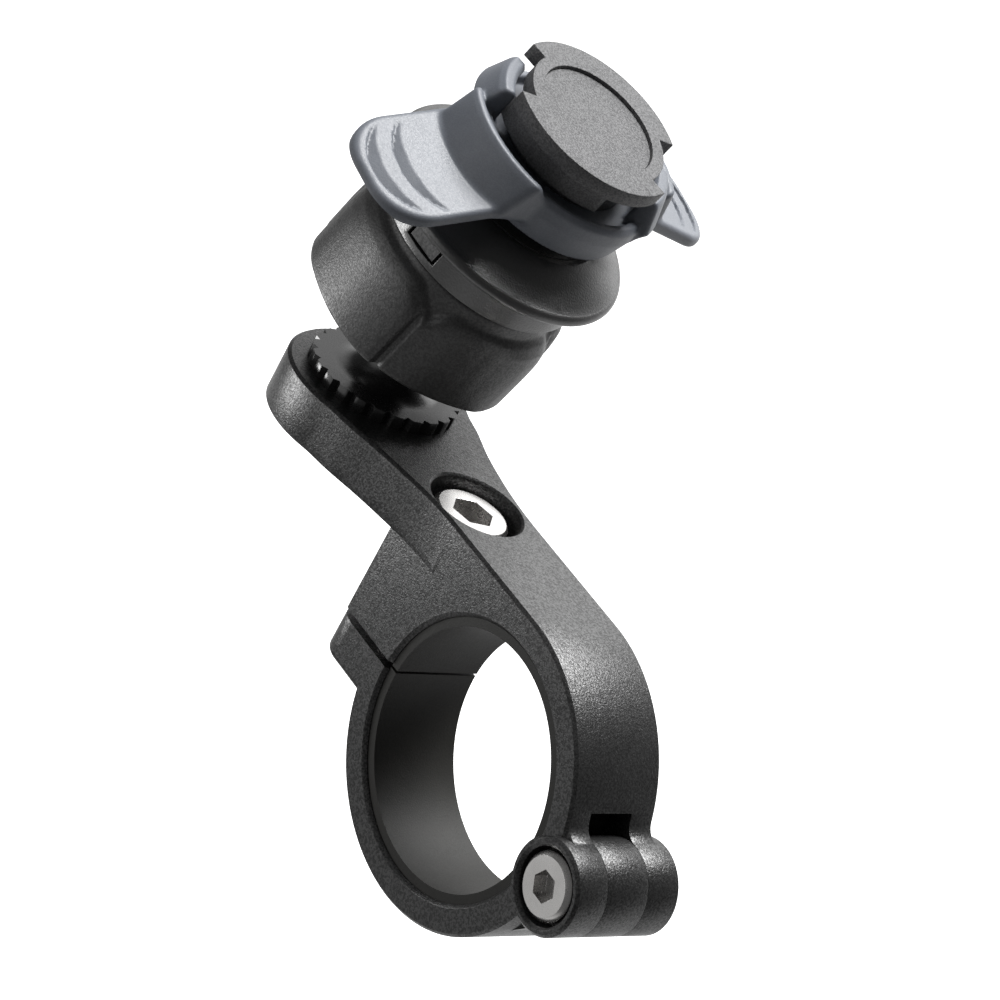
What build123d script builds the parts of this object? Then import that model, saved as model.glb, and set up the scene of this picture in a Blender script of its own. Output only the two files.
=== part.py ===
from build123d import *
import math
import os

os.makedirs("parts", exist_ok=True)

# Bike phone mount: a hinged handlebar clamp with an arm, a ball stud on the arm,
# and a head on the ball with a hand-tightened collar, a sprung locking ring with
# two wings and a bayonet disc.
# Origin: the middle of the clamp bore. +Y runs along the handlebar.
# +Z is square to the arm's flat top, the direction of the clamp bolt and the stud.

# ---------------------------------------------------------------- clamp sizes
bar_r = 16.0            # liner bore, for a 31.8 mm bar
bore_r = 17.2           # metal bore behind the liner
ring_r = 21.05           # outside of the clamp ring, level with the arm's top
half_w = 6.55           # front face of the ring, towards -Y
back_w = 7.15           # back face of the ring
wide = half_w + back_w
mid_y = (back_w - half_w) / 2
arm_top = 21.05
arm_bot = 14.1
split_lo = -0.1         # jaw's split face
split_hi = 0.9          # body's split face
bolt_x = -23.3
lug_end_x = -30.0
lug_bot = -5.9
lug_corner_r = 3.9
edge_c = 0.4            # broken outer edges
bore_c = 0.5            # broken mouth of the bore
hinge_x = 22.5
barrel_r = 5.95
barrel_y = 8.0          # front end of the hinge barrels
back_y = 8.5            # back end of the hinge barrels
knuckle_y = 3.2
hinge_gap_r = 6.3       # relief around the hinge centre
slot_top = 8.4
liner_y0, liner_y1 = -5.9, 7.0
stud_x = -47.5
pad_r = 12.7            # round end of the arm

# ---------------------------------------------------------------- fasteners
bolt_head_r, bolt_head_h, bolt_r = 5.0, 6.0, 2.65
bolt_head_top = 19.85
bolt_tip_z = -5.3
cbore_r = 6.15
washer_t = 1.0
hinge_screw_r = 2.5
hinge_head_r, hinge_head_y = 4.25, -7.9
hinge_cbore_y = -5.3
stud_screw_r, stud_head_r = 2.5, 4.25

# ---------------------------------------------------------------- stud
foot_r, foot_top, teeth = 10.15, 22.8, 24
neck_r = 3.6
ball_r = 8.2
ball_z = 34.85

# ---------------------------------------------------------------- head (heights above the ball centre)
head_dir = Vector(0.27096, 0.05520, 0.96101)
ball_c = Vector(stud_x, 0, ball_z)
disc_top, disc_bot = 34.5, 32.43
disc_r, recess_r, recess_d = 12.0, 8.15, 0.5
tab_bot, tab_r = 29.37, 11.0
notch_r, notch_mid, notch_half = 9.85, -126.0, 26.8
tab_a0, tab_a1 = -106.7, -11.2
hub_r, neck_top_r = 8.6, 7.4
web_top, web_bot = 27.5, 26.0
seat_z = 20.2           # where the bayonet post stands on the socket
wing_turn = 6.2         # the wings' line from the square position
wing_half, wing_tip, wing_t = 7.75, 29.2, 1.9
lock_travel = 2.6
knob_top, knob_bot = 10.7, -3.7
skirt_r, skirt_bot = 14.35, 11.1
knob_in_r = 12.65
# radius of the knob's grip round one half turn: two scooped panels, grooves between
grip = [(-139, 14.3), (-136.8, 14.9), (-134, 15.4), (-128, 15.65), (-121, 15.65), (-114, 15.5), (-107, 15.25),
        (-99, 15.05), (-90, 14.95), (-80, 14.95), (-70, 15.0), (-61, 15.1), (-54, 15.2), (-51.2, 14.95), (-49, 14.0),
        (-46.8, 14.45), (-44, 14.55), (-37, 14.42), (-29, 14.32), (-19, 14.3), (-9, 14.45), (1, 14.85), (11, 15.4),
        (18, 15.65), (26, 15.65), (33, 15.5), (36.8, 15.2), (39, 14.7)]
thread_r = 11.4
fit = 0.05

h_dir = head_dir.normalized()
u_dir = Vector(0, 1, 0).cross(h_dir).normalized()
v_dir = h_dir.cross(u_dir).normalized()
head_plane = Plane(origin=ball_c, x_dir=u_dir, z_dir=h_dir)
side_plane = Plane(origin=ball_c, x_dir=u_dir, z_dir=v_dir * -1)   # sketch x = radius, y = height
head_axis = Axis(ball_c, h_dir)
ball_plane = Plane(origin=ball_c, x_dir=(1, 0, 0), z_dir=(0, -1, 0))
stud_axis = Axis((stud_x, 0, 0), (0, 0, 1))
stud_side = Plane(origin=(stud_x, 0, 0), x_dir=(1, 0, 0), z_dir=(0, -1, 0))


def turned(a):
    """Side plane whose radius direction stands a degrees round the head axis."""
    t = math.radians(a)
    x = u_dir * math.cos(t) + v_dir * math.sin(t)
    return Plane(origin=ball_c, x_dir=x, z_dir=x.cross(h_dir))


# ================================================================ clamp body
arm_end = (-43.0, math.sqrt(pad_r ** 2 - (stud_x + 43.0) ** 2))
end_dir = (-arm_end[1] / pad_r, (arm_end[0] - stud_x) / pad_r)
arm_back = [(-18, back_w), (-22, 7.27), (-26, 7.65), (-29, 8.15), (-32, 8.75), (-35, 9.55), (-39, 10.87), arm_end]
arm_front = [(-18, -half_w), (-22, -6.7), (-26, -7.3), (-29, -8.0), (-32, -8.75), (-35, -9.65), (-39, -10.9),
             (arm_end[0], -arm_end[1])]
with BuildPart() as clamp_body:
    with BuildSketch(Plane.XZ.offset(-back_w)):
        Circle(ring_r)
        with Locations(((lug_end_x + 2 - 15) / 2, (arm_top + split_hi) / 2)):
            Rectangle(-15 - (lug_end_x + 2), arm_top - split_hi)
        with Locations((-22, (arm_top + arm_bot) / 2)):
            Rectangle(44, arm_top - arm_bot)
        with Locations((0, -50 + split_hi)):
            Rectangle(140, 100, mode=Mode.SUBTRACT)
    extrude(amount=wide)
    # lug, rounded about the bolt
    with BuildSketch(Plane.XY.offset(split_hi)):
        with Locations(((lug_end_x - 16) / 2, mid_y)):
            Rectangle(-16 - lug_end_x, wide)
        fillet(vertices().group_by(Axis.X)[0], radius=lug_corner_r)
    extrude(amount=arm_bot + 0.5 - split_hi)
    # arm, widening to a round end under the stud
    with BuildSketch(Plane.XY.offset(arm_bot)):
        with BuildLine():
            Spline(*arm_back, tangents=[(-1, 0), end_dir])
            ThreePointArc(arm_end, (stud_x - pad_r, 0), (arm_end[0], -arm_end[1]))
            Spline(*arm_front[::-1], tangents=[(-end_dir[0], end_dir[1]), (1, 0)])
            Line(arm_front[0], arm_back[0])
        make_face()
    extrude(amount=arm_top - arm_bot)
    # broken outer edges of the arm's top and of the ring
    rim = [e for e in clamp_body.edges()
           if (all(abs(v.Z - arm_top) < 0.01 for v in e.vertices()) and abs(e.center().Z - arm_top) < 0.01
               and abs(e.center().X) > 0.5)
           or (e.geom_type == GeomType.CIRCLE and abs(e.radius - ring_r) < 0.02
               and abs(abs(e.center().Y - mid_y) - wide / 2) < 0.01)]
    chamfer(rim, length=edge_c)
    # hollow curve from the ring into the hinge barrels
    curve_r = 2.4
    ca, cb = ring_r + curve_r, barrel_r + curve_r
    cx = (ca ** 2 - cb ** 2 + hinge_x ** 2) / (2 * hinge_x)
    cz = math.sqrt(ca ** 2 - cx ** 2)
    t1 = (cx * ring_r / ca, cz * ring_r / ca)
    t2 = (hinge_x + (cx - hinge_x) * barrel_r / cb, cz * barrel_r / cb)
    low_pt = ((t1[0] + t2[0]) / 2 - 1.2, (t1[1] + t2[1]) / 2 - 2.0)
    dx, dz = t1[0] - cx + t2[0] - cx, t1[1] - cz + t2[1] - cz
    dl = math.hypot(dx, dz)
    with BuildSketch(Plane.XZ.offset(edge_c - back_w)):
        with BuildLine():
            Polyline(t1, (t1[0] - 0.8, t1[1] - 1.6), low_pt, (t2[0] - 0.6, t2[1] - 1.4), t2)
            ThreePointArc(t2, (cx + curve_r * dx / dl, cz + curve_r * dz / dl), t1)
        make_face()
    extrude(amount=wide - 2 * edge_c)
    # hinge barrels
    with BuildSketch(Plane(origin=(hinge_x, 0, 0), x_dir=(1, 0, 0), z_dir=(0, 0, 1))):
        with BuildLine():
            Polyline((0, -barrel_y), (barrel_r - 0.4, -barrel_y), (barrel_r, 0.4 - barrel_y), (barrel_r, back_y - 0.4),
                     (barrel_r - 0.4, back_y), (0, back_y), (0, -barrel_y))
        make_face()
    revolve(axis=Axis((hinge_x, 0, 0), (0, 1, 0)))
    # slot for the jaw's knuckle
    with BuildSketch(Plane.XZ):
        with Locations((hinge_x, 0)):
            Circle(hinge_gap_r)
        with Locations((hinge_x + 4, (slot_top - 10) / 2)):
            Rectangle(20, slot_top + 10)
    extrude(amount=knuckle_y + 0.05, both=True, mode=Mode.SUBTRACT)
    # bar bore, with broken mouths
    with BuildSketch(Plane.XY):
        with BuildLine():
            Polyline((0, -half_w - 0.05), (bore_r + bore_c + 0.05, -half_w - 0.05), (bore_r, bore_c - half_w),
                     (bore_r, back_w - bore_c), (bore_r + bore_c + 0.05, back_w + 0.05), (0, back_w + 0.05), (0, -half_w - 0.05))
        make_face()
    revolve(axis=Axis.Y, mode=Mode.SUBTRACT)
    # clamp bolt
    with BuildSketch(Plane(origin=(bolt_x, 0, 0), x_dir=(1, 0, 0), z_dir=(0, -1, 0))):
        with BuildLine():
            Polyline((0, arm_top + 1), (cbore_r + 0.3, arm_top + 1), (cbore_r + 0.3, arm_top), (cbore_r, arm_top - 0.3),
                     (0, arm_top - 0.3), (0, arm_top + 1))
        make_face()
    revolve(axis=Axis((bolt_x, 0, 0), (0, 0, 1)), mode=Mode.SUBTRACT)
    with BuildSketch(Plane.XY.offset(arm_top)):
        with Locations((bolt_x, 0)):
            Circle(cbore_r)
    extrude(amount=-(arm_top - (bolt_head_top - bolt_head_h - washer_t)), mode=Mode.SUBTRACT)
    with BuildSketch(Plane.XY.offset(arm_top)):
        with Locations((bolt_x, 0)):
            Circle(3.3)
    extrude(amount=-25, mode=Mode.SUBTRACT)
    # hinge screw: counterbore in front, clear hole, threaded back lug
    with BuildSketch(Plane(origin=(hinge_x, 0, 0), x_dir=(1, 0, 0), z_dir=(0, 0, 1))):
        with BuildLine():
            Polyline((0, -barrel_y - 1), (5.15, -barrel_y - 1), (5.15, -barrel_y), (4.75, 0.4 - barrel_y),
                     (4.75, hinge_cbore_y), (0, hinge_cbore_y), (0, -barrel_y - 1))
        make_face()
    revolve(axis=Axis((hinge_x, 0, 0), (0, 1, 0)), mode=Mode.SUBTRACT)
    with BuildSketch(Plane.XZ.offset(barrel_y)):
        with Locations((hinge_x, 0)):
            Circle(hinge_screw_r)
    extrude(amount=-(barrel_y + 7.4), mode=Mode.SUBTRACT)
    # stud seat above, screw recess below
    with BuildSketch(Plane.XY.offset(arm_top)):
        with Locations((stud_x, 0)):
            Circle(5.0)
    extrude(amount=-2.5, mode=Mode.SUBTRACT)
    with BuildSketch(Plane.XY.offset(arm_top)):
        with Locations((stud_x, 0)):
            Circle(stud_screw_r)
    extrude(amount=-10, mode=Mode.SUBTRACT)
    with BuildSketch(Plane.XY.offset(arm_bot)):
        with Locations((stud_x, 0)):
            Circle(5.0)
    extrude(amount=2.5, mode=Mode.SUBTRACT)
clamp_body.part.label = "clamp_body"
export_step(clamp_body.part, "parts/clamp_body.step")

# ================================================================ clamp jaw
with BuildPart() as clamp_jaw:
    with BuildSketch(Plane.XZ.offset(-back_w)):
        Circle(ring_r)
        with Locations((0, 50 + split_lo)):
            Rectangle(140, 100, mode=Mode.SUBTRACT)
    extrude(amount=wide)
    with BuildSketch(Plane.XY.offset(lug_bot)):
        with Locations(((lug_end_x - 14) / 2, mid_y)):
            Rectangle(-14 - lug_end_x, wide)
        fillet(vertices().group_by(Axis.X)[0], radius=lug_corner_r)
    extrude(amount=split_lo - lug_bot)
    low = [e for e in clamp_jaw.edges() if all(abs(v.Z - lug_bot) < 0.01 for v in e.vertices()) and e.center().X < -27]
    fillet(low, radius=0.9)
    rim = [e for e in clamp_jaw.edges() if e.geom_type == GeomType.CIRCLE and abs(e.radius - ring_r) < 0.02
           and abs(abs(e.center().Y - mid_y) - wide / 2) < 0.01]
    chamfer(rim, length=edge_c)
    # room for the body's hinge barrels
    with BuildSketch(Plane.XZ):
        with Locations((hinge_x, 0)):
            Circle(hinge_gap_r)
    extrude(amount=20, both=True, mode=Mode.SUBTRACT)
    # middle knuckle
    with BuildSketch(Plane.XZ):
        with Locations((hinge_x, 0)):
            Circle(barrel_r)
        with BuildLine():
            Polyline((hinge_x - 7.5, split_lo), (hinge_x - 2, split_lo), (hinge_x, -barrel_r),
                     (16.2, -13.0), (12, -14), (hinge_x - 7.5, split_lo))
        make_face()
    extrude(amount=knuckle_y, both=True)
    with BuildSketch(Plane.XY):
        with BuildLine():
            Polyline((0, -half_w - 0.05), (bore_r + bore_c + 0.05, -half_w - 0.05), (bore_r, bore_c - half_w),
                     (bore_r, back_w - bore_c), (bore_r + bore_c + 0.05, back_w + 0.05), (0, back_w + 0.05), (0, -half_w - 0.05))
        make_face()
    revolve(axis=Axis.Y, mode=Mode.SUBTRACT)
    with BuildSketch(Plane.XZ):
        with Locations((hinge_x, 0)):
            Circle(hinge_screw_r + fit)
    extrude(amount=20, both=True, mode=Mode.SUBTRACT)
    with BuildSketch(Plane.XY):
        with Locations((bolt_x, 0)):
            Circle(3.1)
    extrude(amount=-10, mode=Mode.SUBTRACT)
clamp_jaw.part.label = "clamp_jaw"
export_step(clamp_jaw.part, "parts/clamp_jaw.step")

# ================================================================ bar liners
with BuildPart() as bar_liner_upper:
    with BuildSketch(Plane.XZ.offset(-liner_y1)):
        Circle(bore_r)
        Circle(bar_r, mode=Mode.SUBTRACT)
        with Locations((0, -50 + 0.55)):
            Rectangle(100, 100, mode=Mode.SUBTRACT)
        with Locations((hinge_x, 0)):
            Circle(hinge_gap_r, mode=Mode.SUBTRACT)
    extrude(amount=liner_y1 - liner_y0)
bar_liner_upper.part.label = "bar_liner_upper"
export_step(bar_liner_upper.part, "parts/bar_liner_upper.step")

with BuildPart() as bar_liner_lower:
    with BuildSketch(Plane.XZ.offset(-liner_y1)):
        Circle(bore_r)
        Circle(bar_r, mode=Mode.SUBTRACT)
        with Locations((0, 50 + 0.2)):
            Rectangle(100, 100, mode=Mode.SUBTRACT)
        with Locations((hinge_x, 0)):
            Circle(hinge_gap_r, mode=Mode.SUBTRACT)
    extrude(amount=liner_y1 - liner_y0)
bar_liner_lower.part.label = "bar_liner_lower"
export_step(bar_liner_lower.part, "parts/bar_liner_lower.step")

# ================================================================ clamp bolt and washer
with BuildPart() as clamp_bolt:
    with BuildSketch(Plane.XY.offset(bolt_head_top - bolt_head_h)):
        with Locations((bolt_x, 0)):
            Circle(bolt_head_r)
    extrude(amount=bolt_head_h)
    chamfer(faces().sort_by(Axis.Z)[-1].edges(), length=0.45)
    with BuildSketch(Plane.XY.offset(bolt_tip_z)):
        with Locations((bolt_x, 0)):
            Circle(bolt_r)
    extrude(amount=bolt_head_top - bolt_head_h - bolt_tip_z)
    with BuildSketch(Plane.XY.offset(bolt_head_top)):
        with Locations((bolt_x, 0)):
            RegularPolygon(radius=2.5, side_count=6, major_radius=False, rotation=18)
    extrude(amount=-3.0, mode=Mode.SUBTRACT)
clamp_bolt.part.label = "clamp_bolt"
export_step(clamp_bolt.part, "parts/clamp_bolt.step")

with BuildPart() as clamp_washer:
    with BuildSketch(Plane.XY.offset(bolt_head_top - bolt_head_h - washer_t)):
        with Locations((bolt_x, 0)):
            Circle(5.8)
            Circle(3.1, mode=Mode.SUBTRACT)
    extrude(amount=washer_t)
clamp_washer.part.label = "clamp_washer"
export_step(clamp_washer.part, "parts/clamp_washer.step")

# ================================================================ hinge screw
with BuildPart() as hinge_screw:
    with BuildSketch(Plane.XZ.offset(-hinge_head_y)):
        with Locations((hinge_x, 0)):
            Circle(hinge_head_r)
    extrude(amount=-(hinge_cbore_y - hinge_head_y))
    chamfer(faces().sort_by(Axis.Y)[0].edges(), length=0.6)
    with BuildSketch(Plane.XZ.offset(-hinge_head_y - 1)):
        with Locations((hinge_x, 0)):
            Circle(hinge_screw_r)
    extrude(amount=-(7.2 - hinge_head_y - 1))
    with BuildSketch(Plane.XZ.offset(-hinge_head_y)):
        with Locations((hinge_x, 0)):
            RegularPolygon(radius=1.75, side_count=6, major_radius=False, rotation=0)
    extrude(amount=-2.0, mode=Mode.SUBTRACT)
hinge_screw.part.label = "hinge_screw"
export_step(hinge_screw.part, "parts/hinge_screw.step")

# ================================================================ ball stud
with BuildPart() as ball_stud:
    with BuildSketch(stud_side):
        with BuildLine():
            Polyline((0, 18.65), (5.0, 18.65), (5.0, arm_top), (foot_r, arm_top), (foot_r, foot_top), (7.2, foot_top))
            ThreePointArc((7.2, foot_top), (4.55, 23.9), (neck_r, 26.6))
            Line((neck_r, 26.6), (neck_r, ball_z - math.sqrt(ball_r ** 2 - neck_r ** 2)))
            ThreePointArc((neck_r, ball_z - math.sqrt(ball_r ** 2 - neck_r ** 2)), (ball_r, ball_z), (0, ball_z + ball_r))
            Line((0, ball_z + ball_r), (0, 18.65))
        make_face()
    revolve(axis=stud_axis)
    with BuildSketch(Plane.XY.offset(arm_top - 0.1)):
        with Locations((stud_x, 0)):
            with PolarLocations(foot_r + 0.55, teeth):
                Rectangle(1.7, 1.7, rotation=45)
    extrude(amount=3, mode=Mode.SUBTRACT)
    with BuildSketch(Plane.XY.offset(18)):
        with Locations((stud_x, 0)):
            Circle(stud_screw_r)
    extrude(amount=8.2, mode=Mode.SUBTRACT)
ball_stud.part.label = "ball_stud"
export_step(ball_stud.part, "parts/ball_stud.step")

with BuildPart() as stud_screw:
    with BuildSketch(Plane.XY.offset(13.4)):
        with Locations((stud_x, 0)):
            Circle(stud_head_r)
    extrude(amount=2.6)
    chamfer(faces().sort_by(Axis.Z)[0].edges(), length=0.4)
    with BuildSketch(Plane.XY.offset(15)):
        with Locations((stud_x, 0)):
            Circle(stud_screw_r)
    extrude(amount=10.8)
    with BuildSketch(Plane.XY.offset(13.4)):
        with Locations((stud_x, 0)):
            RegularPolygon(radius=1.75, side_count=6, major_radius=False)
    extrude(amount=1.9, mode=Mode.SUBTRACT)
stud_screw.part.label = "stud_screw"
export_step(stud_screw.part, "parts/stud_screw.step")

with BuildPart() as stud_lock_washer:
    with BuildSketch(Plane.XY.offset(16.0)):
        with Locations((stud_x, 0)):
            Circle(4.4)
            Circle(2.6, mode=Mode.SUBTRACT)
        with Locations((stud_x + 3.5, 0)):
            Rectangle(3.0, 0.7, mode=Mode.SUBTRACT)
    extrude(amount=0.6)
stud_lock_washer.part.label = "stud_lock_washer"
export_step(stud_lock_washer.part, "parts/stud_lock_washer.step")


# ================================================================ ball cup, its backing pad, the seat ring
def zone(r0, r1, e0, e1):
    """Points of a spherical band's section: radii r0..r1, elevations e0..e1 degrees."""
    def at(r, e):
        return (r * math.cos(math.radians(e)), r * math.sin(math.radians(e)))
    m = (e0 + e1) / 2
    return at(r0, e0), at(r0, m), at(r0, e1), at(r1, e1), at(r1, m), at(r1, e0)


pts = zone(ball_r + fit, 9.0, 16, 62)
with BuildPart() as ball_cup:
    with BuildSketch(side_plane):
        with BuildLine():
            ThreePointArc(pts[0], pts[1], pts[2])
            Line(pts[2], pts[3])
            ThreePointArc(pts[3], pts[4], pts[5])
            Line(pts[5], pts[0])
        make_face()
    revolve(axis=head_axis)
ball_cup.part.label = "ball_cup"
export_step(ball_cup.part, "parts/ball_cup.step")

pts = zone(9.0 + fit, 9.8, 8, 58)
with BuildPart() as cup_pad:
    with BuildSketch(side_plane):
        with BuildLine():
            ThreePointArc(pts[0], pts[1], pts[2])
            Line(pts[2], pts[3])
            ThreePointArc(pts[3], pts[4], pts[5])
            Line(pts[5], pts[0])
        make_face()
    revolve(axis=head_axis)
cup_pad.part.label = "cup_pad"
export_step(cup_pad.part, "parts/cup_pad.step")

pts = zone(ball_r + fit, 9.6, -22, -4)
with BuildPart() as seat_ring:
    with BuildSketch(side_plane):
        with BuildLine():
            ThreePointArc(pts[0], pts[1], pts[2])
            Line(pts[2], pts[3])
            ThreePointArc(pts[3], pts[4], pts[5])
            Line(pts[5], pts[0])
        make_face()
    revolve(axis=head_axis)
seat_ring.part.label = "seat_ring"
export_step(seat_ring.part, "parts/seat_ring.step")

# ================================================================ socket body
cup_recess = 9.85
z_edge = 0.6
with BuildPart() as socket_body:
    with BuildSketch(side_plane):
        with BuildLine():
            Polyline((0, cup_recess), (0, seat_z), (10.1, seat_z), (10.1, 15.5), (12.3, 15.5), (12.3, 9.4),
                     (thread_r, 9.4), (thread_r, z_edge), (math.sqrt(cup_recess ** 2 - z_edge ** 2), z_edge))
            ThreePointArc((math.sqrt(cup_recess ** 2 - z_edge ** 2), z_edge),
                          (cup_recess * math.cos(math.radians(45)), cup_recess * math.sin(math.radians(45))),
                          (0, cup_recess))
        make_face()
    revolve(axis=head_axis)
    with BuildSketch(head_plane.offset(11.5)):
        Circle(2.5)
    extrude(amount=10, mode=Mode.SUBTRACT)
    # snap tabs that stand in the windows of the flange's skirt
    with BuildSketch(head_plane.offset(12.4)):
        for a in (-72, 48, 168):
            with Locations((13.15 * math.cos(math.radians(a)), 13.15 * math.sin(math.radians(a)))):
                Rectangle(1.9, 4.4, rotation=a)
    extrude(amount=2.2)
socket_body.part.label = "socket_body"
export_step(socket_body.part, "parts/socket_body.step")

# ================================================================ dome flange
with BuildPart() as dome_flange:
    with BuildSketch(side_plane):
        with BuildLine():
            Polyline((10.15, 15.55), (12.4, 15.55), (12.4, skirt_bot), (skirt_r, skirt_bot), (skirt_r, 15.55), (16.6, 15.55))
            ThreePointArc((16.6, 15.55), (17.1, 16.2), (16.35, 17.2))
            ThreePointArc((16.35, 17.2), (13.6, 18.75), (11.0, 20.15))
            Polyline((11.0, 20.15), (10.15, 20.15), (10.15, 15.55))
        make_face()
    revolve(axis=head_axis)
    with BuildSketch(head_plane.offset(12.1)):
        for a in (-72, 48, 168):
            with Locations((13.9 * math.cos(math.radians(a)), 13.9 * math.sin(math.radians(a)))):
                Rectangle(4.6, 5.2, rotation=a)
    extrude(amount=2.8, mode=Mode.SUBTRACT)
dome_flange.part.label = "dome_flange"
export_step(dome_flange.part, "parts/dome_flange.step")

# ================================================================ bayonet head
with BuildPart() as bayonet_head:
    with BuildSketch(head_plane.offset(disc_bot)):
        Circle(disc_r)
        for a in (notch_mid, notch_mid + 180):
            with BuildSketch(mode=Mode.SUBTRACT):
                a0, a1 = math.radians(a - notch_half), math.radians(a + notch_half)
                am = math.radians(a)
                with BuildLine():
                    ThreePointArc((notch_r * math.cos(a0), notch_r * math.sin(a0)),
                                  (notch_r * math.cos(am), notch_r * math.sin(am)),
                                  (notch_r * math.cos(a1), notch_r * math.sin(a1)))
                    Polyline((notch_r * math.cos(a1), notch_r * math.sin(a1)),
                             (15 * math.cos(a1), 15 * math.sin(a1)),
                             (17 * math.cos(am), 17 * math.sin(am)),
                             (15 * math.cos(a0), 15 * math.sin(a0)),
                             (notch_r * math.cos(a0), notch_r * math.sin(a0)))
                make_face()
    extrude(amount=disc_top - disc_bot)
    # bayonet tabs under the disc
    with BuildSketch(head_plane.offset(tab_bot)):
        Circle(hub_r)
        for s in (0, 180):
            a0, a1 = math.radians(tab_a0 + s), math.radians(tab_a1 + s)
            am = (a0 + a1) / 2
            with BuildLine():
                ThreePointArc((tab_r * math.cos(a0), tab_r * math.sin(a0)),
                              (tab_r * math.cos(am), tab_r * math.sin(am)),
                              (tab_r * math.cos(a1), tab_r * math.sin(a1)))
                Polyline((tab_r * math.cos(a1), tab_r * math.sin(a1)), (0, 0),
                         (tab_r * math.cos(a0), tab_r * math.sin(a0)))
            make_face()
    extrude(amount=disc_bot - tab_bot)
    with BuildSketch(head_plane.offset(web_top + 0.1)):
        Circle(hub_r)
    extrude(amount=tab_bot - web_top)
    with BuildSketch(head_plane.offset(seat_z)):
        Circle(neck_top_r)
    extrude(amount=web_top + 0.2 - seat_z)
    with BuildSketch(head_plane.offset(disc_top)):
        Circle(recess_r)
    extrude(amount=-1.9, mode=Mode.SUBTRACT)
    with BuildSketch(head_plane.offset(disc_top)):
        Circle(4.6)
    extrude(amount=-(disc_top - 29.4), mode=Mode.SUBTRACT)
    with BuildSketch(head_plane.offset(disc_top)):
        Circle(2.5)
    extrude(amount=-20, mode=Mode.SUBTRACT)
bayonet_head.part.label = "bayonet_head"
export_step(bayonet_head.part, "parts/bayonet_head.step")

with BuildPart() as head_cap:
    with BuildSketch(head_plane.offset(disc_top - 1.9)):
        Circle(recess_r - 0.05)
    extrude(amount=1.9 - recess_d)
head_cap.part.label = "head_cap"
export_step(head_cap.part, "parts/head_cap.step")

with BuildPart() as head_screw:
    with BuildSketch(head_plane.offset(29.4)):
        Circle(4.25)
    extrude(amount=2.8)
    with BuildSketch(head_plane.offset(12.0)):
        Circle(2.5)
    extrude(amount=18)
    with BuildSketch(head_plane.offset(32.2)):
        RegularPolygon(radius=1.75, side_count=6, major_radius=False)
    extrude(amount=-1.9, mode=Mode.SUBTRACT)
head_screw.part.label = "head_screw"
export_step(head_screw.part, "parts/head_screw.step")

# ================================================================ locking ring
lug_mid, lug_half = -129.3, 20.4
with BuildPart() as lock_ring:
    with BuildSketch(side_plane):
        with BuildLine():
            Polyline((neck_top_r + fit, web_bot), (neck_top_r + fit, web_top), (12.1, web_top), (12.1, 28.45),
                     (12.75, 28.45), (13.2, 27.4), (12.95, 24.6), (12.0, 22.9), (10.9, 22.9), (10.9, web_bot),
                     (neck_top_r + fit, web_bot))
        make_face()
    revolve(axis=head_axis)
    # thick shoulders that carry the wings
    for s in (-90 + wing_turn, 90 + wing_turn):
        with BuildSketch(turned(s - 30)):
            with BuildLine():
                Polyline((12.15, 24.0), (12.15, 27.9), (14.4, 30.2), (15.0, 30.2), (17.4, 25.6), (17.4, 23.9),
                         (15.0, 23.9), (12.15, 24.0))
            make_face()
        revolve(axis=head_axis, revolution_arc=64)
    # wings
    for s in (-90 + wing_turn, 90 + wing_turn):
        t = math.radians(s)
        out = u_dir * math.cos(t) + v_dir * math.sin(t)
        droop = math.atan(0.28)
        along = out * math.cos(droop) - h_dir * math.sin(droop)
        nrm = out * math.sin(droop) + h_dir * math.cos(droop)
        root = ball_c + out * 17.0 + h_dir * (disc_top - 9.5)
        wing_plane = Plane(origin=root, x_dir=along, z_dir=nrm)
        reach = (wing_tip - 17.0) / math.cos(droop)
        with BuildSketch(wing_plane):
            with Locations(((reach - 3.0) / 2, 0)):
                Rectangle(reach + 3.0, 2 * wing_half)
            fillet(vertices().sort_by(Axis(root, along))[-2:], radius=6.0)
        extrude(amount=-wing_t)
    # locking lugs that stand in the disc's notches
    for s in (lug_mid, lug_mid + 180):
        with BuildSketch(turned(s - lug_half)):
            with BuildLine():
                Polyline((10.4, web_top - 0.5), (10.4, 31.9), (11.0, 32.4), (12.5, 32.4), (14.2, 28.2),
                         (13.0, 26.5), (10.4, web_top - 0.5))
            make_face()
        revolve(axis=head_axis, revolution_arc=2 * lug_half)
lock_ring.part.label = "lock_ring"
export_step(lock_ring.part, "parts/lock_ring.step")

# ================================================================ locking spring
spring_wire, spring_mid = 0.45, 8.9
with BuildPart() as lock_spring:
    with BuildLine() as coil:
        Helix(pitch=1.6, height=web_bot - seat_z - 2 * spring_wire - 0.2, radius=spring_mid,
              center=ball_c + h_dir * (seat_z + spring_wire + 0.1), direction=h_dir)
    with BuildSketch(Plane(origin=coil.line @ 0, z_dir=coil.line % 0)):
        Circle(spring_wire)
    sweep(path=coil.line, is_frenet=True)
lock_spring.part.label = "lock_spring"
export_step(lock_spring.part, "parts/lock_spring.step")

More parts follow.
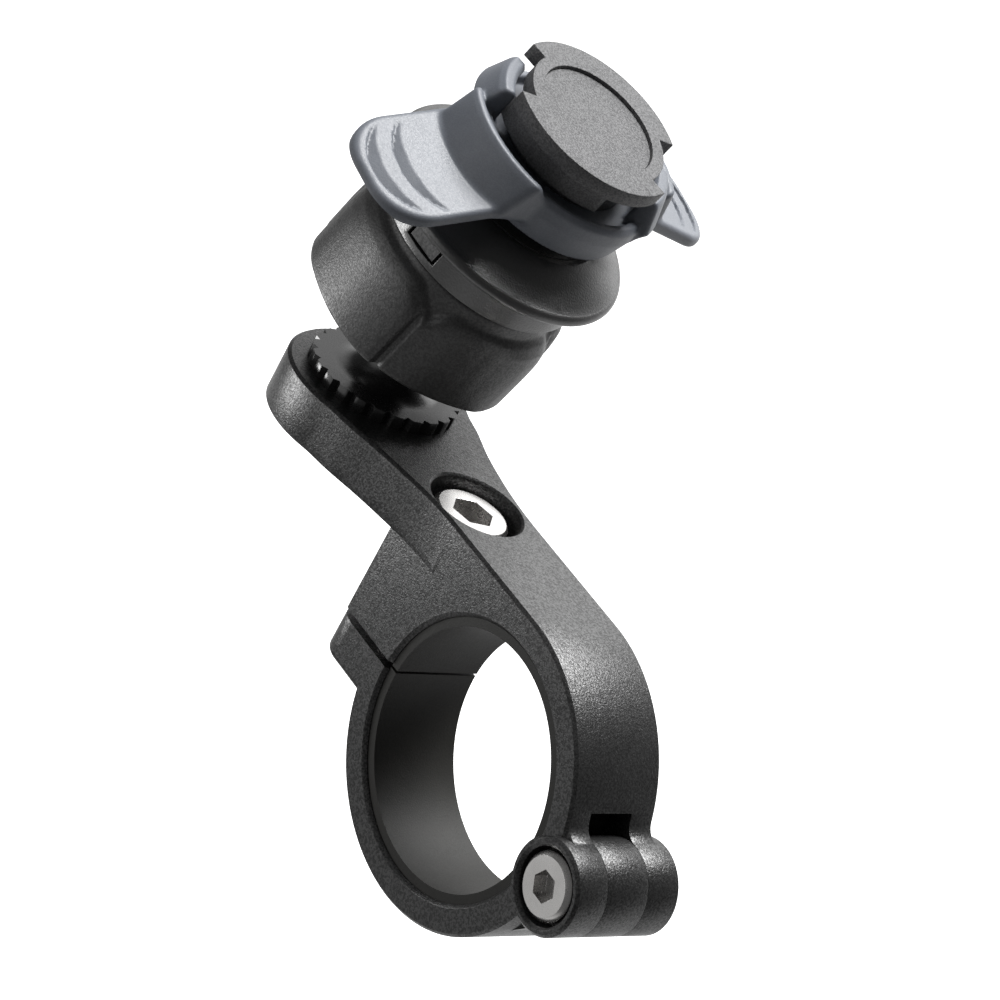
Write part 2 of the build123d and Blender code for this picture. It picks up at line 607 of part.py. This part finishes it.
# ================================================================ collar knob
grip_pts = [(r * math.cos(math.radians(a + half)), r * math.sin(math.radians(a + half)))
            for half in (0, 180) for a, r in grip]
with BuildPart() as collar_knob:
    with BuildSketch(head_plane.offset(knob_bot)):
        with BuildLine():
            Spline(*grip_pts, periodic=True)
        make_face()
    extrude(amount=knob_top - knob_bot)
    # rounded shoulder and lower edge
    with BuildSketch(side_plane):
        with BuildLine():
            Polyline((0, knob_top), (0, knob_bot), (15.1, knob_bot), (15.9, knob_bot + 0.8), (15.9, 2.5))
            ThreePointArc((15.9, 2.5), (15.25, 7.7), (13.5, knob_top))
            Line((13.5, knob_top), (0, knob_top))
        make_face()
    revolve(axis=head_axis, mode=Mode.INTERSECT)
    # thread, room for the socket's shoulder and the ball seat's opening
    with BuildSketch(side_plane):
        with BuildLine():
            Polyline((0, knob_top + 1), (knob_in_r, knob_top + 1), (knob_in_r, 9.3), (thread_r + fit, 9.3),
                     (thread_r + fit, 0.35), (math.sqrt(9.65 ** 2 - 0.35 ** 2), 0.35))
            ThreePointArc((math.sqrt(9.65 ** 2 - 0.35 ** 2), 0.35),
                          (9.65 * math.cos(math.radians(-10)), 9.65 * math.sin(math.radians(-10))),
                          (math.sqrt(9.65 ** 2 - knob_bot ** 2), knob_bot))
            Polyline((math.sqrt(9.65 ** 2 - knob_bot ** 2), knob_bot), (math.sqrt(9.65 ** 2 - knob_bot ** 2), knob_bot - 1),
                     (0, knob_bot - 1), (0, knob_top + 1))
        make_face()
    revolve(axis=head_axis, mode=Mode.SUBTRACT)
collar_knob.part.label = "collar_knob"
export_step(collar_knob.part, "parts/collar_knob.step")
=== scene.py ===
import math

import bpy
import numpy as np
from mathutils import Matrix, Vector


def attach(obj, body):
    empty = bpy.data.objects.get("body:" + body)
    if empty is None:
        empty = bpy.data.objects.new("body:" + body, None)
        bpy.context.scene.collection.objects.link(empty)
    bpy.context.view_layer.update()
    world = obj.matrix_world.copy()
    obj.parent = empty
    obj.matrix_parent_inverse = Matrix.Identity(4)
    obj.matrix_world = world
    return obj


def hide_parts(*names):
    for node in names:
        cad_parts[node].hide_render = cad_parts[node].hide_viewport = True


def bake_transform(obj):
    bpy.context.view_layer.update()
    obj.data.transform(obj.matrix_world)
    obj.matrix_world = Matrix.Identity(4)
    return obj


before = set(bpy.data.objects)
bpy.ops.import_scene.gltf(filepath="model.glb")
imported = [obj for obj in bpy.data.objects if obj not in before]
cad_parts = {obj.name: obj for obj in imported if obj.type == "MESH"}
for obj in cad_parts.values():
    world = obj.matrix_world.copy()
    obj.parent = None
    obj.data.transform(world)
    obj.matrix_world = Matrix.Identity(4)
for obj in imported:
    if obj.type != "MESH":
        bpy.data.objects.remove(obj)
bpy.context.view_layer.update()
MM = 0.001

# ------------------------------------------------------------------ camera
RIGHT = Vector((0.50104886, 0.74568564, 0.43920721))
UP = Vector((-0.61104921, -0.05455518, 0.78971045))
BACK = Vector((0.61283677, -0.66406074, 0.42831581))
cam_data = bpy.data.cameras.new("camera")
cam = bpy.data.objects.new("camera", cam_data)
bpy.context.scene.collection.objects.link(cam)
cam_data.sensor_width = 36.0
cam_data.lens = 144.0
cam_data.clip_start, cam_data.clip_end = 0.01, 20.0
cam.matrix_world = Matrix((
    (RIGHT.x, UP.x, BACK.x, 0.27604498),
    (RIGHT.y, UP.y, BACK.y, -0.32117073),
    (RIGHT.z, UP.z, BACK.z, 0.23114895),
    (0, 0, 0, 1)))
bpy.context.scene.camera = cam

# ------------------------------------------------------------------ head frame
H = np.array((0.27096326, 0.05520242, 0.96100552))
H /= np.linalg.norm(H)
U = np.cross((0.0, 1.0, 0.0), H)
U /= np.linalg.norm(U)
V = np.cross(H, U)
BALL = np.array((-47.5, 0.0, 34.85))


def to_row(p):
    """Head-frame millimetres to row-frame metres."""
    return (BALL + p[:, :1] * U + p[:, 1:2] * V + p[:, 2:3] * H) * MM


# ------------------------------------------------------------------ solids from distance fields
def smin(a, b, k):
    h = np.clip(0.5 + 0.5 * (b - a) / k, 0, 1)
    return b + (a - b) * h - k * h * (1 - h)


def smax(a, b, k):
    return -smin(-a, -b, k)


def polygon(x, y, pts):
    """Signed distance to a closed polygon, negative inside."""
    d = np.full(x.shape, 1e9)
    s = np.ones(x.shape)
    n = len(pts)
    for i in range(n):
        (ax, ay), (bx, by) = pts[i], pts[i - 1]
        ex, ey = bx - ax, by - ay
        wx, wy = x - ax, y - ay
        t = np.clip((wx * ex + wy * ey) / (ex * ex + ey * ey), 0, 1)
        d = np.minimum(d, (wx - ex * t) ** 2 + (wy - ey * t) ** 2)
        c1, c2, c3 = y >= ay, y < by, ex * wy > ey * wx
        flip = (c1 & c2 & c3) | (~c1 & ~c2 & ~c3)
        s = np.where(flip, -s, s)
    return s * np.sqrt(d)


def box2(x, y, cx, cy, hx, hy, r):
    """Rounded rectangle."""
    qx, qy = np.abs(x - cx) - hx + r, np.abs(y - cy) - hy + r
    return np.minimum(np.maximum(qx, qy), 0) + np.hypot(np.maximum(qx, 0), np.maximum(qy, 0)) - r


def surface(name, field, lo, hi, step):
    """Meshes field(x, y, z) <= 0 by surface nets, then pulls the points onto the surface."""
    ax = [np.arange(lo[i], hi[i] + step, step) for i in range(3)]
    nx, ny, nz = (len(a) for a in ax)
    g = np.empty((nx, ny, nz), np.float32)
    for i0 in range(0, nx, 24):
        X, Y, Z = np.meshgrid(ax[0][i0:i0 + 24], ax[1], ax[2], indexing="ij")
        g[i0:i0 + 24] = field(X, Y, Z)
    neg = g < 0
    c = neg[:-1, :-1, :-1].astype(np.int8)
    total = np.zeros(c.shape, np.int8)
    for dx in (0, 1):
        for dy in (0, 1):
            for dz in (0, 1):
                total += neg[dx:nx - 1 + dx, dy:ny - 1 + dy, dz:nz - 1 + dz]
    act = (total > 0) & (total < 8)
    idx = np.full(act.shape, -1, np.int64)
    cells = np.argwhere(act)
    idx[act] = np.arange(len(cells))
    acc = np.zeros((len(cells), 3))
    cnt = np.zeros(len(cells))
    corners = [(a, b, d) for a in (0, 1) for b in (0, 1) for d in (0, 1)]
    for p in corners:
        for axis in range(3):
            if p[axis]:
                continue
            q = list(p)
            q[axis] = 1
            a = g[cells[:, 0] + p[0], cells[:, 1] + p[1], cells[:, 2] + p[2]].astype(float)
            b = g[cells[:, 0] + q[0], cells[:, 1] + q[1], cells[:, 2] + q[2]].astype(float)
            cross = (a < 0) != (b < 0)
            t = np.where(cross, a / np.where(cross, a - b, 1), 0)
            pos = np.array(p, float)[None].repeat(len(cells), 0)
            pos[:, axis] += t
            acc[cross] += pos[cross]
            cnt[cross] += 1
    pts = (cells + acc / cnt[:, None]) * step + np.array(lo)
    faces = []
    for axis in range(3):
        b, d = [(1, 2), (2, 0), (0, 1)][axis]
        sl0 = [slice(1, -1)] * 3
        sl0[axis] = slice(0, -1)
        sl1 = list(sl0)
        sl1[axis] = slice(1, None)
        n0, n1 = neg[tuple(sl0)], neg[tuple(sl1)]
        e = np.argwhere(n0 != n1)
        out = n0[tuple(e.T)]
        off = np.ones(3, int)
        off[axis] = 0
        e = e + off
        quad = []
        for s0, s1 in ((0, 0), (-1, 0), (-1, -1), (0, -1)):
            m = e.copy()
            m[:, b] += s0
            m[:, d] += s1
            quad.append(idx[m[:, 0], m[:, 1], m[:, 2]])
        quad = np.stack(quad, 1)
        quad[~out] = quad[~out][:, ::-1]
        faces.append(quad)
    faces = np.concatenate(faces)
    eps = 0.02

    def value(p):
        return field(p[:, 0], p[:, 1], p[:, 2])

    for _ in range(3):
        f0 = value(pts)
        grad = np.stack([(value(pts + d) - value(pts - d)) / (2 * eps) for d in np.eye(3) * eps], 1)
        norm = np.maximum((grad ** 2).sum(1), 0.25)
        move = -f0[:, None] * grad / norm[:, None]
        long = np.linalg.norm(move, axis=1)
        move *= np.minimum(1, 0.35 * step / np.maximum(long, 1e-9))[:, None]
        pts = pts + move
    mesh = bpy.data.meshes.new(name)
    mesh.vertices.add(len(pts))
    mesh.vertices.foreach_set("co", to_row(pts).astype(np.float32).ravel())
    mesh.loops.add(faces.size)
    mesh.loops.foreach_set("vertex_index", faces.astype(np.int32).ravel())
    mesh.polygons.add(len(faces))
    mesh.polygons.foreach_set("loop_start", np.arange(0, faces.size, 4, dtype=np.int32))
    mesh.polygons.foreach_set("use_smooth", np.ones(len(faces), bool))
    mesh.update(calc_edges=True)
    mesh.validate()
    obj = bpy.data.objects.new(name, mesh)
    bpy.context.scene.collection.objects.link(obj)
    return obj


# ------------------------------------------------------------------ lock ring
def lock_ring_field(x, y, z):
    r = np.hypot(x, y)
    core = polygon(r, z, [(7.45, 26.0), (7.45, 27.5), (11.2, 27.5), (11.6, 28.5), (12.4, 28.6), (12.95, 28.0),
                          (13.0, 26.2), (12.5, 23.8), (12.2, 22.65), (11.8, 22.7), (10.9, 23.0), (10.9, 26.0)])
    d = core
    for s in (-83.8, 96.2):
        t = math.radians(s)
        yy = x * math.cos(t) + y * math.sin(t)      # outward
        xx = -x * math.sin(t) + y * math.cos(t)     # across
        side = np.maximum(xx - 8.5, -xx - 7.5) + 0.05 * np.maximum(yy - 12, 0)
        # shoulder
        prof = polygon(r, z, [(12.1, 24.2), (12.1, 28.0), (14.25, 30.3), (15.0, 30.3), (15.35, 29.7), (17.15, 25.2), (17.0, 24.2)])
        sh = smax(prof, side, 0.9)
        sh = smax(sh, 7.0 - yy, 0.5)
        # wing plate
        plan = box2(xx, yy, 0, 18.6, 7.95, 10.65, 6.5)
        ztop = 34.5 - (9.4 + 0.28 * (yy - 16.5))
        w = 0.963
        mid = (z - (ztop - 0.95)) * w
        q0, q1 = plan + 0.75, np.abs(mid) - 0.95 + 0.75
        plate = np.minimum(np.maximum(q0, q1), 0) + np.hypot(np.maximum(q0, 0), np.maximum(q1, 0)) - 0.75
        plate = np.maximum(plate, 12.2 - r)
        # crescent grooves in the wing's top
        for cx, cy, rad, depth in ((0.0, 19.9, 8.05, 0.6), (0.2, 15.1, 9.3, 0.6)):
            dr = np.hypot(xx - cx, yy - cy) - rad
            ang = np.arctan2(xx - cx, yy - cy)
            span = 0.92 if rad < 9 else 0.82
            fade = np.clip((span - np.abs(ang)) / 0.6, 0, 1)
            cut = np.where(dr > 0, np.clip(1 - dr / 0.2, 0, 1), np.clip(1 + dr / (0.3 + 1.1 * fade), 0, 1))
            plate = plate + np.where(mid > -0.3, depth * cut * np.sqrt(fade), 0)
        wing = smin(sh, plate, 0.45)
        d = smin(d, wing, 0.9)
    # locking lugs
    for s in (-129.3, 50.7):
        t = math.radians(s)
        ang = np.abs((np.arctan2(y, x) - t + math.pi) % (2 * math.pi) - math.pi)
        prof = polygon(r, z, [(10.4, 26.8), (10.4, 31.7), (10.9, 32.3), (12.2, 32.3), (12.7, 31.6), (14.0, 28.2), (13.0, 26.2)])
        lug = smax(prof, (ang - math.radians(20.4)) * r, 0.6)
        d = smin(d, lug, 0.5)
    # opening for the neck and room under the ring
    d = np.maximum(d, 7.45 - r)
    return d


lock = surface("lock_ring_shape", lock_ring_field, (-31, -31, 20.5), (31, 31, 33.4), 0.26)


# ------------------------------------------------------------------ collar knob
GRIP = [(-139, 14.35), (-136.8, 14.9), (-134, 15.35), (-128, 15.65), (-121, 15.7), (-114, 15.5), (-107, 15.2),
        (-99, 15.0), (-90, 14.92), (-80, 14.95), (-70, 15.02), (-61, 15.12), (-55, 15.2), (-51.9, 15.1), (-50.2, 14.4), (-49, 14.05),
        (-47.8, 14.3), (-46.0, 14.62), (-43, 14.55), (-37, 14.42), (-29, 14.32), (-19, 14.3), (-9, 14.42), (1, 14.8), (11, 15.4),
        (18, 15.65), (26, 15.68), (33, 15.5), (36.8, 15.1), (39, 14.6)]
GRIP_A = np.array([a for a, r in GRIP] + [GRIP[0][0] + 180.0])
GRIP_R = np.array([r for a, r in GRIP] + [GRIP[0][1]])


def knob_field(x, y, z):
    r = np.hypot(x, y)
    a = (np.degrees(np.arctan2(y, x)) + 139.0) % 180.0 - 139.0
    side = r - np.interp(a, GRIP_A, GRIP_R)
    core = smax(smax(r - 13.45, z - 10.6, 0.4), -3.6 - z, 0.6)
    # panels end in a rounded shoulder, higher on the flat side than on the crests
    # and lower at the groove between them
    drop = 2.4 * np.exp(-((a + 48.0) / 8.0) ** 2) + 1.1 * np.clip((a + 49.0) / 4.0, 0, 1) * np.clip((41.0 - a) / 6.0, 0, 1)
    drop = drop + 1.2 * np.exp(-((a - 41.0) / 7.0) ** 2) + 1.2 * np.exp(-((a + 139.0) / 7.0) ** 2)
    top = polygon(r, z + drop * np.clip((z - 1.0) / 5.0, 0, 1), [(0, -3.65), (15.35, -3.65), (15.75, -3.1), (15.85, 2.5), (15.6, 5.4), (15.1, 7.6), (14.3, 9.0), (13.3, 9.9), (0, 9.9)])
    panels = smax(side, top, 0.6)
    d = smin(core, panels, 0.25)
    bore = np.maximum(np.where(z > 9.3, 12.65, np.where(z > 0.35, 11.45, 9.6)) - r, -100)
    bore = np.maximum(bore, np.where(z < 0.35, np.sqrt(np.maximum(9.65 ** 2 - np.minimum(z, 0.35) ** 2, 1)) - r, bore))
    return np.maximum(d, bore)


knob = surface("collar_knob_shape", knob_field, (-17, -17, -4.6), (17, 17, 11.6), 0.27)

# ------------------------------------------------------------------ materials
def node_mat(name):
    m = bpy.data.materials.new(name)
    m.use_nodes = True
    nt = m.node_tree
    nt.nodes.clear()
    out = nt.nodes.new("ShaderNodeOutputMaterial")
    b = nt.nodes.new("ShaderNodeBsdfPrincipled")
    nt.links.new(b.outputs["BSDF"], out.inputs["Surface"])
    return m, nt, b


def coord(nt):
    return nt.nodes.new("ShaderNodeTexCoord").outputs["Object"]


def noise(nt, vec, scale, detail=3.0, rough=0.55):
    n = nt.nodes.new("ShaderNodeTexNoise")
    n.inputs["Scale"].default_value = scale
    n.inputs["Detail"].default_value = detail
    n.inputs["Roughness"].default_value = rough
    nt.links.new(vec, n.inputs["Vector"])
    return n.outputs["Fac"]


def ramp(nt, fac, stops):
    n = nt.nodes.new("ShaderNodeValToRGB")
    e = n.color_ramp.elements
    while len(e) < len(stops):
        e.new(0.5)
    for el, (p, c) in zip(e, stops):
        el.position = p
        el.color = c if len(c) == 4 else (*c, 1)
    nt.links.new(fac, n.inputs["Fac"])
    return n.outputs["Color"]


def grey(v):
    return (v, v, v)


def maprange(nt, fac, a, b, c, d):
    n = nt.nodes.new("ShaderNodeMapRange")
    nt.links.new(fac, n.inputs["Value"])
    for k, val in zip(("From Min", "From Max", "To Min", "To Max"), (a, b, c, d)):
        n.inputs[k].default_value = val
    return n.outputs["Result"]


def bump(nt, height, strength, distance, normal=None):
    n = nt.nodes.new("ShaderNodeBump")
    n.inputs["Strength"].default_value = strength
    n.inputs["Distance"].default_value = distance
    nt.links.new(height, n.inputs["Height"])
    if normal is not None:
        nt.links.new(normal, n.inputs["Normal"])
    return n.outputs["Normal"]


def textured(name, dark, light, r0, r1, grain, depth, metal=0.0, spec=0.5, blotch=300.0, coat=0.0, fleck=None):
    """Fine-grained finish: colour and roughness drift softly, with a grain of the given scale and depth."""
    m, nt, b = node_mat(name)
    vec = coord(nt)
    big = noise(nt, vec, blotch, 3)
    fine = noise(nt, vec, grain, 2)
    col = ramp(nt, big, [(0.3, dark), (0.7, light)])
    if fleck is not None:
        spot = noise(nt, vec, grain * 0.8, 1, 0.4)
        mask = maprange(nt, spot, 0.62, 0.72, 0.0, fleck[1])
        mix = nt.nodes.new("ShaderNodeMix")
        mix.data_type = "RGBA"
        nt.links.new(mask, mix.inputs["Factor"])
        nt.links.new(col, mix.inputs["A"])
        mix.inputs["B"].default_value = (*fleck[0], 1)
        col = mix.outputs["Result"]
    nt.links.new(col, b.inputs["Base Color"])
    nt.links.new(maprange(nt, fine, 0.3, 0.7, r0, r1), b.inputs["Roughness"])
    nt.links.new(bump(nt, fine, 1.0, depth), b.inputs["Normal"])
    b.inputs["Metallic"].default_value = metal
    if isinstance(spec, tuple):
        # fine speckle in how strongly the finish reflects
        nt.links.new(maprange(nt, noise(nt, vec, grain * 0.75, 2, 0.6), 0.42, 0.58, *spec), b.inputs["Specular IOR Level"])
    else:
        b.inputs["Specular IOR Level"].default_value = spec
    b.inputs["Coat Weight"].default_value = coat
    return m


M_ALU = textured("anodised_black", grey(0.008), grey(0.014), 0.30, 0.42, 4600, 0.00005, metal=0.0, spec=(0.32, 0.78),
                 blotch=220, fleck=((0.03, 0.03, 0.03), 0.5))
M_FOOT = textured("anodised_gloss", grey(0.008), grey(0.012), 0.20, 0.28, 3000, 0.000006, spec=0.5)
M_KNOB = textured("black_plastic", grey(0.026), grey(0.032), 0.40, 0.52, 3800, 0.00004, spec=(0.45, 0.75))
M_DOME = textured("dome_plastic", grey(0.020), grey(0.026), 0.30, 0.42, 3800, 0.00004, spec=0.85)
M_DISC = textured("charcoal_plastic", (0.044, 0.044, 0.046), (0.056, 0.056, 0.058), 0.5, 0.66, 5200, 0.00006, spec=(0.3, 0.8))
M_RING = textured("blue_grey_plastic", (0.098, 0.107, 0.124), (0.112, 0.121, 0.139), 0.44, 0.54, 5600, 0.000018, spec=(0.42, 0.58))
M_LINER = textured("liner_rubber", (0.012, 0.0117, 0.0102), (0.015, 0.0146, 0.0128), 0.52, 0.62, 5000, 0.00002, spec=0.28)
M_STEEL = textured("stainless", (0.52, 0.51, 0.50), (0.58, 0.57, 0.56), 0.24, 0.30, 1800, 0.000001, metal=1.0)
M_SPRING = textured("spring_steel", (0.35, 0.34, 0.33), (0.42, 0.41, 0.40), 0.25, 0.4, 1500, 0.00001, metal=1.0)
M_DARK = textured("bore_black", grey(0.010), grey(0.014), 0.5, 0.65, 2500, 0.00002)

LOOK = {
    "clamp_body": M_ALU, "clamp_jaw": M_ALU, "bar_liner_upper": M_LINER, "bar_liner_lower": M_LINER,
    "clamp_bolt": M_STEEL, "clamp_washer": M_STEEL, "hinge_screw": M_STEEL, "ball_stud": M_FOOT,
    "stud_screw": M_STEEL, "stud_lock_washer": M_STEEL, "ball_cup": M_KNOB, "cup_pad": M_KNOB,
    "seat_ring": M_KNOB, "socket_body": M_KNOB, "dome_flange": M_DOME, "bayonet_head": M_DISC,
    "head_cap": M_DISC, "head_screw": M_STEEL, "lock_ring": M_RING, "lock_spring": M_SPRING, "collar_knob": M_KNOB,
}
for n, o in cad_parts.items():
    o.data.materials.clear()
    o.data.materials.append(LOOK[n])

# broken edges catch a line of light
for n, width in (("clamp_body", 0.12), ("clamp_jaw", 0.12), ("bayonet_head", 0.18), ("head_cap", 0.1), ("dome_flange", 0.14),
                 ("socket_body", 0.1), ("ball_stud", 0.1), ("clamp_bolt", 0.1), ("hinge_screw", 0.1), ("clamp_washer", 0.08)):
    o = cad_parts[n]
    weld = o.modifiers.new("weld", "WELD")
    weld.merge_threshold = 0.00001
    bev = o.modifiers.new("edge", "BEVEL")
    bev.width = width * MM
    bev.segments = 2
    bev.limit_method = "ANGLE"
    bev.angle_limit = math.radians(38)
    bev.use_clamp_overlap = True
    bev.harden_normals = False

lock.data.materials.append(M_RING)
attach(lock, "ring")
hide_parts("lock_ring")
knob.data.materials.append(M_KNOB)
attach(knob, "knob")
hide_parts("collar_knob")

# the spring is copied into a mesh of its own with its placement baked in, and the CAD part is hidden
coil_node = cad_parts["lock_spring"]
bpy.context.view_layer.update()
coil = bpy.data.objects.new("lock_spring_shape", coil_node.data.copy())
bpy.context.scene.collection.objects.link(coil)
coil.matrix_world = coil_node.matrix_world.copy()
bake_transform(coil)
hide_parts("lock_spring")

# ------------------------------------------------------------------ floor and light
bpy.ops.mesh.primitive_plane_add(size=30, location=(0, 0, -0.30))
floor = bpy.context.object
floor.name = "floor"
fm, fnt, fb = node_mat("floor_white")
fb.inputs["Base Color"].default_value = (0.82, 0.82, 0.82, 1)
fb.inputs["Roughness"].default_value = 0.9
fb.inputs["Emission Color"].default_value = (1, 1, 1, 1)
fb.inputs["Emission Strength"].default_value = 0.9
floor.data.materials.append(fm)
floor.visible_diffuse = False
floor.visible_glossy = False

world = bpy.data.worlds.new("studio")
bpy.context.scene.world = world
world.use_nodes = True
wnt = world.node_tree
wnt.nodes.clear()
wout = wnt.nodes.new("ShaderNodeOutputWorld")
wbg = wnt.nodes.new("ShaderNodeBackground")
wdir = wnt.nodes.new("ShaderNodeTexCoord").outputs["Generated"]


def math_node(nt, op, a, b):
    n = nt.nodes.new("ShaderNodeMath")
    n.operation = op
    for i, val in enumerate((a, b)):
        if isinstance(val, (int, float)):
            n.inputs[i].default_value = val
        else:
            nt.links.new(val, n.inputs[i])
    return n.outputs["Value"]


def lobe(direction, outer, inner, strength):
    """Soft patch of light round a direction, full inside `inner` degrees and gone by `outer`."""
    n = wnt.nodes.new("ShaderNodeVectorMath")
    n.operation = "DOT_PRODUCT"
    wnt.links.new(wdir, n.inputs[0])
    n.inputs[1].default_value = Vector(direction).normalized()
    m = wnt.nodes.new("ShaderNodeMapRange")
    m.interpolation_type = "SMOOTHSTEP"
    wnt.links.new(n.outputs["Value"], m.inputs["Value"])
    for k, val in zip(("From Min", "From Max", "To Min", "To Max"),
                      (math.cos(math.radians(outer)), math.cos(math.radians(inner)), 0.0, strength)):
        m.inputs[k].default_value = val
    return m.outputs["Result"]


light = 0.17
for d, outer, inner, strength in (((-0.55, 0.68, 0.48), 42, 15, 1.15), ((-0.20, -0.96, 0.0), 40, 14, 1.5),
                                  ((-0.12, 0.97, -0.16), 32, 10, 1.5), ((-0.70, 0.55, -0.45), 40, 10, 1.0),
                                  ((0.15, 0.25, -0.95), 60, 20, 0.9), ((0.62, 0.66, -0.40), 30, 8, 0.7),
                                  ((-0.61, -0.67, -0.43), 26, 6, 0.45)):
    light = math_node(wnt, "ADD", light, lobe(d, outer, inner, strength))
wnt.links.new(light, wbg.inputs["Strength"])
wnt.links.new(wbg.outputs["Background"], wout.inputs["Surface"])


def area(name, loc, target, sx, sy, power):
    d = bpy.data.lights.new(name, "AREA")
    d.shape = "RECTANGLE"
    d.size, d.size_y = sx, sy
    d.energy = power
    o = bpy.data.objects.new(name, d)
    bpy.context.scene.collection.objects.link(o)
    o.location = loc
    o.rotation_mode = "QUATERNION"
    o.rotation_quaternion = (Vector(target) - Vector(loc)).to_track_quat("-Z", "Y")
    return o


centre = Vector((-0.015, 0, 0.025))
area("key", centre + 0.8 * Vector((-0.15, 0.30, 0.94)).normalized(), centre, 0.45, 0.45, 15.5)
area("side", (-0.108, -0.066, -0.010), (-0.046, -0.012, 0.029), 0.034, 0.034, 0.056)
back = area("back", (-0.085, 0.105, 0.088), (0.0, 0.0, 0.021), 0.07, 0.07, 0.022)
back.visible_camera = False

view = bpy.context.scene.view_settings
view.view_transform = "Standard"
view.look = "None"
view.exposure = 0.0
view.gamma = 1.0
